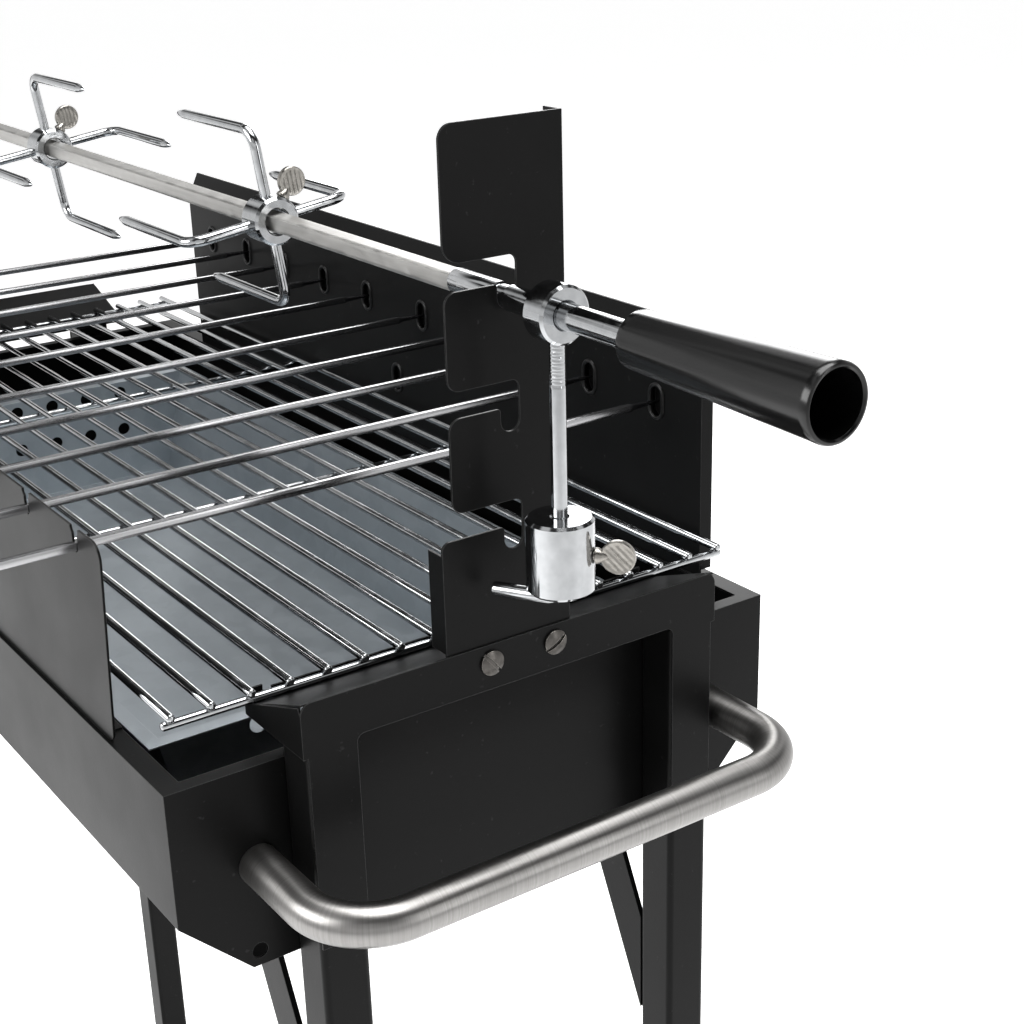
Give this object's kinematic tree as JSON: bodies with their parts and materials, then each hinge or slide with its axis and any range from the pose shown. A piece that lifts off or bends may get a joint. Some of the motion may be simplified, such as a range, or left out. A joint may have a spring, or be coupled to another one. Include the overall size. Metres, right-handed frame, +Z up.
{
  "type": "charcoal spit barbecue",
  "caption": "Free-standing charcoal barbecue on legs and wheels with a motor-turned spit, sliding forks, a counterweight and a row of hand-turned skewers.",
  "frame": {"origin": "on the floor under the middle of the whole object's box", "axes": "+Z up; +X along the firebox towards the end with the grip and the pushing handle; +Y across, from the skewer rings to the wind panel"},
  "size_m": [1.081, 0.4228, 1.157],
  "materials": {
    "black_powder": "satin black powder coat",
    "galvanised": "galvanised sheet, faint spangle",
    "stainless": "brushed stainless tube",
    "chromed_wire": "bright chrome",
    "zinc_bar": "dull zinc-plated bar",
    "nickel": "nickel plate",
    "grip_plastic": "glossy black plastic",
    "black_plastic": "matt black plastic",
    "tyre_rubber": "moulded tyre",
    "dark_screw": "dark plated screw",
    "cell_wrap": "plain printed sleeve",
    "switch_plastic": "red plastic key"
  },
  "bodies": {
    "barbecue": {"firebox": "black_powder", "end_frame_near": "black_powder", "end_frame_far": "black_powder", "leg_near_front": "black_powder", "leg_near_back": "black_powder", "leg_far_front": "black_powder", "leg_far_back": "black_powder", "foot_caps": "black_plastic", "brace_near_front": "black_powder", "brace_near_back": "black_powder", "brace_far_front": "black_powder", "brace_far_back": "black_powder", "axle": "zinc_bar", "axle_caps": "nickel", "push_handle": "stainless", "handle_screws": "dark_screw", "skewer_panel": "black_powder", "wind_panel": "black_powder", "spit_plate_near": "black_powder", "spit_plate_far": "black_powder", "plate_screws_near": "dark_screw", "plate_screws_far": "dark_screw", "motor_housing": "black_plastic", "gear_motor": "galvanised", "battery_cells": "cell_wrap", "motor_studs": "zinc_bar"},
    "pan": {"charcoal_pan": "galvanised"},
    "grid": {"cooking_grid": "chromed_wire"},
    "spit": {"spit_bar": "zinc_bar", "collar": "chromed_wire", "counterweight_rod": "chromed_wire", "grip": "grip_plastic", "drive_socket": "zinc_bar"},
    "weight": {"counterweight": "chromed_wire"},
    "weight_thumbscrew": {"weight_screw": "nickel"},
    "near_fork": {"fork_near": "chromed_wire"},
    "near_fork_screw": {"fork_near_screw": "nickel"},
    "far_fork": {"fork_far": "chromed_wire"},
    "far_fork_screw": {"fork_far_screw": "nickel"},
    "front_wheel": {"wheel_front": "black_plastic", "tyre_front": "tyre_rubber"},
    "back_wheel": {"wheel_back": "black_plastic", "tyre_back": "tyre_rubber"},
    "lid": {"battery_lid": "black_plastic"},
    "switch": {"motor_switch": "switch_plastic"},
    "skewer_1": {"skewer_01": "chromed_wire"},
    "skewer_2": {"skewer_02": "chromed_wire"},
    "skewer_3": {"skewer_03": "chromed_wire"},
    "skewer_4": {"skewer_04": "chromed_wire"},
    "skewer_5": {"skewer_05": "chromed_wire"},
    "skewer_6": {"skewer_06": "chromed_wire"},
    "skewer_7": {"skewer_07": "chromed_wire"},
    "skewer_8": {"skewer_08": "chromed_wire"},
    "skewer_9": {"skewer_09": "chromed_wire"},
    "skewer_10": {"skewer_10": "chromed_wire"}
  },
  "joints": [
    {"name": "spit_turn", "type": "hinge", "parent": "barbecue", "child": "spit", "pos_m": [0.3145, 0.0334, 1.0795], "axis": [1, 0, 0], "continuous": true},
    {"name": "fork_near_slide", "type": "slide", "parent": "spit", "child": "near_fork", "axis": [1, 0, 0], "range_m": [-0.06, 0.15]},
    {"name": "fork_far_slide", "type": "slide", "parent": "spit", "child": "far_fork", "axis": [1, 0, 0], "range_m": [-0.15, 0.06]},
    {"name": "fork_near_screw_turn", "type": "hinge", "parent": "near_fork", "child": "near_fork_screw", "pos_m": [0.1175, 0.0334, 1.0795], "axis": [0, 0.6018, 0.7986], "continuous": true},
    {"name": "fork_far_screw_turn", "type": "hinge", "parent": "far_fork", "child": "far_fork_screw", "pos_m": [-0.2035, 0.0334, 1.0795], "axis": [0, 0.6018, 0.7986], "continuous": true},
    {"name": "counterweight_slide", "type": "slide", "parent": "spit", "child": "weight", "axis": [0, 0, 1], "range_m": [0, 0.05]},
    {"name": "weight_screw_turn", "type": "hinge", "parent": "weight", "child": "weight_thumbscrew", "pos_m": [0.3755, 0.0334, 0.97036], "axis": [0.7547, 0.6561, 0], "continuous": true},
    {"name": "grid_lift", "type": "slide", "parent": "barbecue", "child": "grid", "axis": [0, 0, 1], "range_m": [0, 0.06]},
    {"name": "pan_lift", "type": "slide", "parent": "barbecue", "child": "pan", "axis": [0, 0, 1], "range_m": [0, 0.03]},
    {"name": "wheel_front_turn", "type": "hinge", "parent": "barbecue", "child": "front_wheel", "pos_m": [-0.458, -0.1386, 0.062], "axis": [0, 1, 0], "continuous": true},
    {"name": "wheel_back_turn", "type": "hinge", "parent": "barbecue", "child": "back_wheel", "pos_m": [-0.458, 0.2114, 0.062], "axis": [0, 1, 0], "continuous": true},
    {"name": "battery_lid_slide", "type": "slide", "parent": "barbecue", "child": "lid", "axis": [0, 0, 1], "range_m": [0, 0.03]},
    {"name": "motor_switch_slide", "type": "slide", "parent": "barbecue", "child": "switch", "axis": [1, 0, 0], "range_m": [0, 0.006]},
    {"name": "skewer_1_turn", "type": "hinge", "parent": "barbecue", "child": "skewer_1", "pos_m": [-0.3223, -0.1386, 0.973], "axis": [0, 1, 0], "continuous": true},
    {"name": "skewer_2_turn", "type": "hinge", "parent": "barbecue", "child": "skewer_2", "pos_m": [-0.2613, -0.1386, 0.973], "axis": [0, 1, 0], "continuous": true},
    {"name": "skewer_3_turn", "type": "hinge", "parent": "barbecue", "child": "skewer_3", "pos_m": [-0.2003, -0.1386, 0.973], "axis": [0, 1, 0], "continuous": true},
    {"name": "skewer_4_turn", "type": "hinge", "parent": "barbecue", "child": "skewer_4", "pos_m": [-0.1393, -0.1386, 0.973], "axis": [0, 1, 0], "continuous": true},
    {"name": "skewer_5_turn", "type": "hinge", "parent": "barbecue", "child": "skewer_5", "pos_m": [-0.0783, -0.1386, 0.973], "axis": [0, 1, 0], "continuous": true},
    {"name": "skewer_6_turn", "type": "hinge", "parent": "barbecue", "child": "skewer_6", "pos_m": [-0.0067, -0.1386, 0.973], "axis": [0, 1, 0], "continuous": true},
    {"name": "skewer_7_turn", "type": "hinge", "parent": "barbecue", "child": "skewer_7", "pos_m": [0.0543, -0.1386, 0.973], "axis": [0, 1, 0], "continuous": true},
    {"name": "skewer_8_turn", "type": "hinge", "parent": "barbecue", "child": "skewer_8", "pos_m": [0.1153, -0.1386, 0.973], "axis": [0, 1, 0], "continuous": true},
    {"name": "skewer_9_turn", "type": "hinge", "parent": "barbecue", "child": "skewer_9", "pos_m": [0.1763, -0.1386, 0.973], "axis": [0, 1, 0], "continuous": true},
    {"name": "skewer_10_turn", "type": "hinge", "parent": "barbecue", "child": "skewer_10", "pos_m": [0.2373, -0.1386, 0.973], "axis": [0, 1, 0], "continuous": true}
  ]
}
